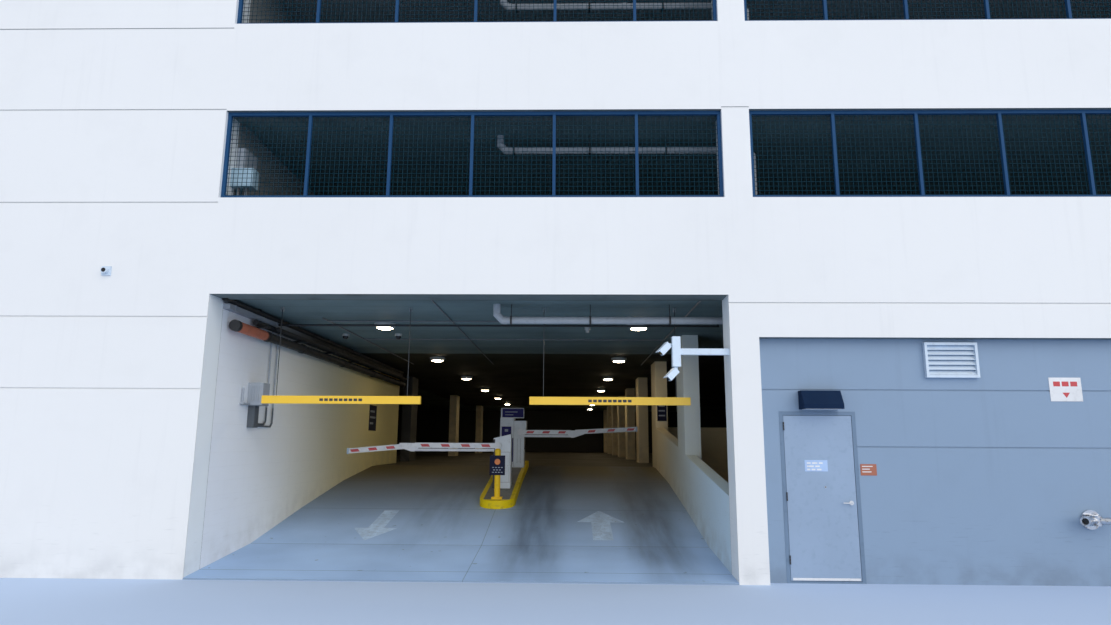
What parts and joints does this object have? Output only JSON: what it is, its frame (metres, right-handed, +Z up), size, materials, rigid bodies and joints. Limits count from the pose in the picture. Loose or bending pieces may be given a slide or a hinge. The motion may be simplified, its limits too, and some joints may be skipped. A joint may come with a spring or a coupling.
{
  "type": "multi storey car park",
  "caption": "Car park with a ramped street entrance, folding barrier booms, hanging clearance bars, mesh-windowed parking storeys and a roof deck.",
  "frame": {"origin": "bottom centre of the building's box, at street level", "axes": "+Z up, the street side faces -Y, +X to the right seen from the street"},
  "size_m": [30.945, 38.709, 10.676],
  "materials": {
    "white_wall": "matte",
    "grey_wall": "matte",
    "bare_concrete": "matte",
    "ramp_concrete": "matte",
    "navy_steel": "satin",
    "wire_mesh": "satin",
    "door_paint": "satin",
    "satin_steel": "satin",
    "yellow_paint": "satin",
    "navy_plate": "satin",
    "machine_grey": "satin",
    "boom_white": "satin",
    "link_metal": "satin",
    "bar_yellow": "gloss",
    "galvanised": "satin",
    "light_white": "satin",
    "pipe_grey": "matte",
    "pipe_black": "satin",
    "pipe_red": "satin",
    "fixture_white": "satin",
    "inlet_chrome": "polished",
    "box_grey": "satin"
  },
  "bodies": {
    "building": {"blank_wall": "white_wall", "bollard": "yellow_paint", "bollard_plate": "navy_plate", "camera_arm": "fixture_white", "cameras": "fixture_white", "ceiling_lights": "light_white", "clearance_bar_hooks": "galvanised", "door_frame": "door_paint", "door_head_wall": "grey_wall", "drain_pipe": "pipe_grey", "electrical_boxes": "box_grey", "entrance_ramp": "ramp_concrete", "entry_kiosk": "machine_grey", "entry_machine": "machine_grey", "exit_machine": "machine_grey", "fire_inlet": "inlet_chrome", "fire_main": "pipe_red", "front_piers": "white_wall", "front_spandrels": "white_wall", "front_window_frames": "navy_steel", "front_window_mesh": "wire_mesh", "ground_columns": "white_wall", "ground_deck": "bare_concrete", "lane_wall": "white_wall", "level_2_deck": "bare_concrete", "level_3_deck": "bare_concrete", "level_4_deck": "bare_concrete", "louvre": "fixture_white", "low_walls": "white_wall", "outer_base_walls": "grey_wall", "outer_piers": "white_wall", "outer_spandrels": "white_wall", "outer_window_frames": "navy_steel", "outer_window_mesh": "wire_mesh", "service_floor": "bare_concrete", "service_wall": "grey_wall", "sprinkler_pipe": "pipe_black", "traffic_island": "yellow_paint", "upper_columns": "bare_concrete", "wall_camera": "fixture_white", "wall_lamp": "navy_plate"},
    "door": {"door_leaf": "door_paint"},
    "door_lever": {"door_lever": "satin_steel"},
    "exit_inner_arm": {"exit_inner_arm": "boom_white"},
    "exit_link_rod": {"exit_link_rod": "link_metal"},
    "exit_outer_arm": {"exit_outer_arm": "boom_white"},
    "entry_inner_arm": {"entry_inner_arm": "boom_white"},
    "entry_link_rod": {"entry_link_rod": "link_metal"},
    "entry_outer_arm": {"entry_outer_arm": "boom_white"},
    "exit_clearance_bar": {"exit_clearance_bar": "bar_yellow"},
    "entry_clearance_bar": {"entry_clearance_bar": "bar_yellow"}
  },
  "joints": [
    {"name": "door_hinge", "type": "hinge", "parent": "building", "child": "door", "pos_m": [0.51, -19.0675, 0.03], "axis": [0, 0, -1], "range_deg": [0, 100]},
    {"name": "lever_turn", "type": "hinge", "parent": "door", "child": "door_lever", "pos_m": [1.3565, -19.1095, 1.02], "axis": [0, -1, 0], "range_deg": [0, 45], "stiffness_Nm_per_rad": 3, "springref_deg": -17.19},
    {"name": "exit_boom_lift", "type": "hinge", "parent": "building", "child": "exit_inner_arm", "pos_m": [-3.8505, -14.0705, 1.7172], "axis": [0, 1, 0], "range_deg": [0, 90]},
    {"name": "exit_link_swing", "type": "hinge", "parent": "building", "child": "exit_link_rod", "pos_m": [-3.9405, -14.0705, 1.6272], "axis": [0, 1, 0], "range_deg": [0, 90]},
    {"name": "exit_elbow", "type": "hinge", "parent": "exit_inner_arm", "child": "exit_outer_arm", "pos_m": [-5.4905, -14.0705, 1.7172], "axis": [0, 1, 0], "range_deg": [-90, 0]},
    {"name": "entry_boom_lift", "type": "hinge", "parent": "building", "child": "entry_inner_arm", "pos_m": [-3.5625, -11.5205, 2.03], "axis": [0, -1, 0], "range_deg": [0, 90]},
    {"name": "entry_link_swing", "type": "hinge", "parent": "building", "child": "entry_link_rod", "pos_m": [-3.4725, -11.5205, 1.94], "axis": [0, -1, 0], "range_deg": [0, 90]},
    {"name": "entry_elbow", "type": "hinge", "parent": "entry_inner_arm", "child": "entry_outer_arm", "pos_m": [-2.4025, -11.5205, 2.03], "axis": [0, -1, 0], "range_deg": [-90, 0]},
    {"name": "exit_bar_swing", "type": "hinge", "parent": "building", "child": "exit_clearance_bar", "pos_m": [-5.8765, -17.9605, 3.804], "axis": [1, 0, 0], "range_deg": [-30, 30]},
    {"name": "entry_bar_swing", "type": "hinge", "parent": "building", "child": "entry_clearance_bar", "pos_m": [-1.7725, -17.9605, 3.804], "axis": [1, 0, 0], "range_deg": [-30, 30]}
  ],
  "couplings": [
    {"joint": "exit_link_swing", "follows": "exit_boom_lift", "ratio": 1},
    {"joint": "exit_elbow", "follows": "exit_boom_lift", "ratio": -1},
    {"joint": "entry_link_swing", "follows": "entry_boom_lift", "ratio": 1},
    {"joint": "entry_elbow", "follows": "entry_boom_lift", "ratio": -1}
  ]
}
